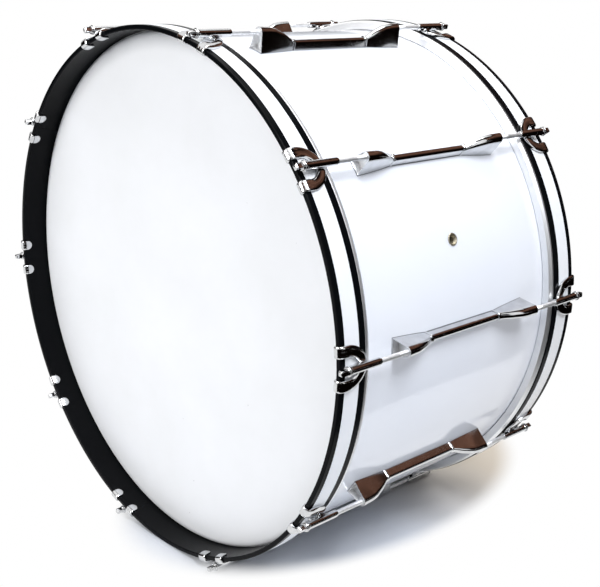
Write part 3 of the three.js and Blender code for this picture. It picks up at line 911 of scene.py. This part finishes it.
station_inputs = (("Piece", "Geometry"), ("Stations", "Int"), ("First angle", "Float"),
                  ("Step angle", "Float"), ("Axis height", "Float"), ("Finish", "Material"))
station_tree, given = start_tree("copies_at_stations", station_inputs, "Set")
height = add(station_tree, "ShaderNodeCombineXYZ", {"Z": given["Axis height"]})
spots = add(station_tree, "GeometryNodePoints",
            {"Count": given["Stations"], "Position": height.outputs["Vector"]})
number = add(station_tree, "GeometryNodeInputIndex")
angle = add(station_tree, "ShaderNodeMath", {0: number.outputs["Index"], 1: given["Step angle"],
                                             2: given["First angle"]}, operation="MULTIPLY_ADD")
about_axis = add(station_tree, "ShaderNodeCombineXYZ", {"Y": angle.outputs["Value"]})
turn = add(station_tree, "FunctionNodeEulerToRotation", {"Euler": about_axis.outputs["Vector"]})
copies = add(station_tree, "GeometryNodeInstanceOnPoints",
             {"Points": spots.outputs["Points"], "Instance": given["Piece"],
              "Rotation": turn.outputs["Rotation"]})
end_tree(station_tree, copies.outputs["Instances"], given["Finish"], "Set")


def at_stations(name, points, faces, finish):
    seed = bpy.data.meshes.new(name + "_seed")
    seed.from_pydata([tuple(c * MM for c in p) for p in points], [], faces)
    return run_tree(name, seed, station_tree,
                    {"Stations": STATIONS, "First angle": STATION_STEP / 2,
                     "Step angle": STATION_STEP, "Axis height": AXIS_HEIGHT * MM,
                     "Finish": finish})


# %% Claws on both hoops
for end, side in (("front", 1), ("rear", -1)):
    facing = [(side * x, side * y, z) for x, y, z in claw_points]
    claws = at_stations(f"claws_{end}", facing, claw_faces, chrome)
    hand_over(claws, "drum", "chrome", *[f"claw_{end}_{k:02d}" for k in range(1, STATIONS + 1)])

# %% [markdown]
# **Lugs.** Each lug is one long casting with a flared box at each end and a bar between
# them. The flare has flat flanks and a round barrel along its crown; a thin raised band
# marks where the bar begins. The ends are open, with thin walls round the nut. A loft
# suits it: one outline with a few sizes that change from row to row.

# %% Outline of a lug
def lug_outline(base, top, corner, crown, foot):
    # right half: foot, straight flank touching a corner arc, then the flat or round top
    centre = Vector((top - corner, crown - corner))
    edge = Vector((base, foot))
    away = centre - edge
    lean = math.atan2(away.y, away.x) - math.asin(min(1.0, corner / away.length))
    start = lean - math.pi / 2
    touch = centre + corner * Vector((math.cos(start), math.sin(start)))
    side = [tuple(edge)] + [tuple(edge.lerp(touch, share)) for share in (0.04, 0.5, 0.94)]
    for k in range(8):
        turn = start + (math.pi / 2 - start) * k / 7
        side.append((centre.x + corner * math.cos(turn), centre.y + corner * math.sin(turn)))
    return side + [(-x, z) for x, z in side[::-1]]


def blend(stops, values, share):
    # the first stretch starts level, so that the flare leaves the band without a kink
    for k in range(len(stops) - 1):
        if share <= stops[k + 1]:
            t = (share - stops[k]) / (stops[k + 1] - stops[k])
            if k == 0:
                t = t * t * (3 - 2 * t)
            return values[k] + (values[k + 1] - values[k]) * t
    return values[-1]


# %% [markdown]
# Half a lug, from its middle to one end. Each row holds a place along Y and five sizes:
# half width at the foot, half width at the top, radius of the corner, height, and how far
# the foot is off the shell. At the end the skin turns in over the rim and runs back to
# the floor of a pocket, where the rod goes in.

# %% Rows of a lug
LUG_SEAT = 330.5
LUG_HALF = 118.0
FLARE_START = 63.8
FLARE_STOPS = [0, 0.25, 0.6, 1]
FLARE_FEET = [5.5, 7.3, 9.2, 11.0]
FLARE_TOPS = [4.4, 5.4, 6.5, 6.8]
FLARE_CORNERS = [3.4, 5.4, 6.5, 6.8]
FLARE_HEIGHTS = [11.8, 19.5, 27.2, 28.4]
POCKET = 9.0
POCKET_WALL = 4.65  # the middle of the pocket's wall lies this far in from the lug's end

bar = [(y, 5.2, 4.2, 3.8, 11.3, 0.0) for y in (0.0, 15.0, 30.0, 45.0, 59.0, 60.6)]
band = [(60.8, 6.0, 4.9, 3.4, 12.3, 0.0), (61.2, 6.2, 5.1, 3.6, 12.6, 0.0),
        (63.2, 6.2, 5.1, 3.6, 12.6, 0.0), (63.6, 6.0, 4.9, 3.6, 12.3, 0.0),
        (FLARE_START, 5.5, 4.4, 3.4, 11.8, 0.0)]
flare = []
for share in (0.12, 0.25, 0.4, 0.55, 0.7, 0.82, 0.92, 0.985):
    sizes = [blend(FLARE_STOPS, values, share)
             for values in (FLARE_FEET, FLARE_TOPS, FLARE_CORNERS, FLARE_HEIGHTS)]
    flare.append((FLARE_START + (LUG_HALF - FLARE_START) * share, *sizes, 0.0))
rim = [(LUG_HALF - 0.25, 11.0, 6.8, 6.8, 28.4, 0.0), (LUG_HALF, 10.7, 6.55, 6.55, 28.15, 0.2),
       (LUG_HALF, 9.9, 5.75, 5.75, 27.3, 1.0), (LUG_HALF - 0.3, 9.7, 5.55, 5.55, 27.1, 1.2),
       (LUG_HALF - POCKET, 8.4, 5.5, 5.5, 26.4, 1.2)]
half_lug = bar + band + flare + rim
whole_lug = [(-y, *sizes) for y, *sizes in half_lug[:0:-1]] + half_lug
points, faces = lofted([[(x, y, LUG_SEAT + z) for x, z in lug_outline(*sizes)]
                        for y, *sizes in whole_lug])
lugs = at_stations("lug_castings", points, faces, chrome)
# inside the open ends the casting is left unpolished
lugs.data.materials.append(plated_steel)
for face in lugs.data.polygons:
    depth = LUG_HALF - abs(face.center.y) / MM
    face.material_index = int(abs(depth - POCKET_WALL) < 0.5 or abs(depth - POCKET) < 0.1)
hand_over(lugs, "drum", "chrome", *[f"lug_{k:02d}" for k in range(1, STATIONS + 1)])

# %% [markdown]
# Inside each open end sits a swivel nut: a turned steel barrel with a collar, free to
# line itself up with the rod. Between lug and shell lies a thin gasket, a little wider
# than the lug's foot and bent to the shell.

# %% Swivel nuts and gaskets
NUT_BORE = 3.2
GASKET = 0.22
GASKET_LIFT = 0.06
GASKET_WIDTHS = [6.0, 7.7, 9.6, 11.4]

nut = rounded([(NUT_BORE, -117.0, 0.3), (5.0, -117.0, 0.4), (5.0, -114.8, 0.2),
               (4.4, -114.4, 0.0), (4.4, -104.0, 0.3), (NUT_BORE, -104.0, 0.2)], 3, 0.1)
nut_points, nut_faces = turned(nut, 24)
nut_points = on_rod_line(nut_points)
pair = joined((nut_points, nut_faces), ([(-x, -y, z) for x, y, z in nut_points], nut_faces))
nuts = at_stations("swivel_nuts", *pair, plated_steel)
hand_over(nuts, "drum", "chrome")

outlines = []
for y in (-118.4, -110, -100, -90, -78, -64, -30, 0, 30, 64, 78, 90, 100, 110, 118.4):
    share = max(0.0, (abs(y) - FLARE_START) / (LUG_HALF - FLARE_START))
    half = blend(FLARE_STOPS, GASKET_WIDTHS, share)
    under = []
    for across in (-half, -half / 2, 0, half / 2, half):
        under.append((across, y, math.sqrt((SHELL + GASKET_LIFT) ** 2 - across ** 2)))
    outlines.append(under + [(x, y, z + GASKET) for x, y, z in under[::-1]])
gaskets = at_stations("lug_gaskets", *lofted(outlines), gasket_plastic)
hand_over(gaskets, "drum", "white_inlay")

# %% [markdown]
# Two screws hold each lug from inside the shell. Nobody sees them until a head is off,
# but they are what carries the pull of the rods: a domed head on a wide washer.

# %% Lug screws inside the shell
SCREW_PLACE = 88.0
# radius, and distance from the drum's axis; the head first
screw = [(0, 320.3), (1.9, 320.35), (3.2, 320.7), (4.1, 321.3), (4.3, 321.7), (4.3, 321.9),
         (5.0, 321.9), (5.0, 322.85), (2.4, 322.9), (2.4, 330.1), (0, 330.1)]
points, faces = turned(screw, 20, False)
screws = [([(x, z + place, y) for x, y, z in points], faces)
          for place in (-SCREW_PLACE, SCREW_PLACE)]
lug_screws = at_stations("lug_screws", *joined(*screws), plated_steel)
hand_over(lug_screws, "drum", "chrome")

# %% [markdown]
# **Tension rods.** A rod is a long screw with a square head for the drum key, a flange
# and a loose washer under it. Each one turns in the model, so each is its own piece on
# its own body. The thread is worked into the surface by a formula: the radius falls by
# the thread's depth as the angle and the way along the rod step through a pitch.

# %% One tension rod
ROD = 3.0
PITCH = 1.06
THREAD_DEPTH = 0.42
THREAD_START = -133.4
THREAD_END = -101.0
THREAD_RUN_IN = 2.0
ROWS_A_PITCH = 6
KEY_HALF = 3.2
KEY_CORNER = 1.3  # the square's corners end this many half widths from the middle
SIDES = 32


def rod_radius(kind, y, size, i):
    angle = TAU * i / SIDES
    if kind == "key":
        square = size / max(abs(math.cos(angle)), abs(math.sin(angle)))
        return min(square, size * KEY_CORNER)
    if kind == "thread":
        phase = (y / PITCH + i / SIDES) % 1
        fade = min(1.0, (y - THREAD_START) / THREAD_RUN_IN)
        return size - THREAD_DEPTH * fade * (1 - abs(2 * phase - 1))
    return size


key_rows = [("key", y, size) for y, size in (
    (-220.85, 1.2), (-220.5, 2.5), (-219.9, 3.05), (-219.2, KEY_HALF), (-213.0, KEY_HALF),
    (-211.98, KEY_HALF))]
# flange, washer and plain shank
shank_rows = [("round", y, size) for y, size in (
    (-211.95, 3.6), (-211.9, 4.6), (-211.4, 5.1), (-210.9, 5.2), (-210.4, 5.2), (-209.85, 5.0),
    (-209.8, 5.5), (-209.7, 5.9), (-209.5, 6.0), (-208.95, 6.0), (-208.75, 5.8), (-208.7, 5.2),
    (-208.68, 3.1), (-208.3, ROD), (-180.0, ROD), (-150.0, ROD), (-134.0, ROD))]
steps = round((THREAD_END - THREAD_START) / PITCH * ROWS_A_PITCH)
thread_rows = [("thread", THREAD_START + (THREAD_END - THREAD_START) * k / steps, ROD)
               for k in range(steps + 1)]
rod_rows = ([("pole", -220.9, 0.0)] + key_rows + shank_rows + thread_rows
            + [("round", -100.6, 2.3), ("round", -100.0, 1.7), ("pole", -100.0, 0.0)])
rod_points, rings = [], []
for kind, y, size in rod_rows:
    if kind == "pole":
        rings.append([len(rod_points)] * SIDES)
        rod_points.append((0, y, ROD_LINE))
        continue
    rings.append([len(rod_points) + i for i in range(SIDES)])
    for i in range(SIDES):
        radius = rod_radius(kind, y, size, i)
        angle = TAU * i / SIDES
        rod_points.append((radius * math.sin(angle), y, ROD_LINE + radius * math.cos(angle)))
rod_faces = stitched(rings)
print("one rod:", len(rod_faces), "faces, thread rows", steps)

# %% [markdown]
# Key head, flange and washer are polished like the claws, and the shank is left satin. A
# rod keeps its own number: its piece rides on the body of the same name as its node.

# %% All twenty tension rods
WASHER_SEAT = 208.6

for end, side in (("front", 1), ("rear", -1)):
    for number in range(STATIONS):
        around_axis = Matrix.Rotation(STATION_STEP * (number + 0.5), 4, "Y")
        placed = [around_axis @ Vector((side * x, side * y, z)) for x, y, z in rod_points]
        node = f"tension_rod_{end}_{number + 1:02d}"
        rod = build(node.replace("tension", "turned"), placed, rod_faces, plated_steel, chrome)
        for face in rod.data.polygons:
            face.material_index = int(abs(face.center.y) / MM > WASHER_SEAT)
        hand_over(rod, node, "chrome", node)
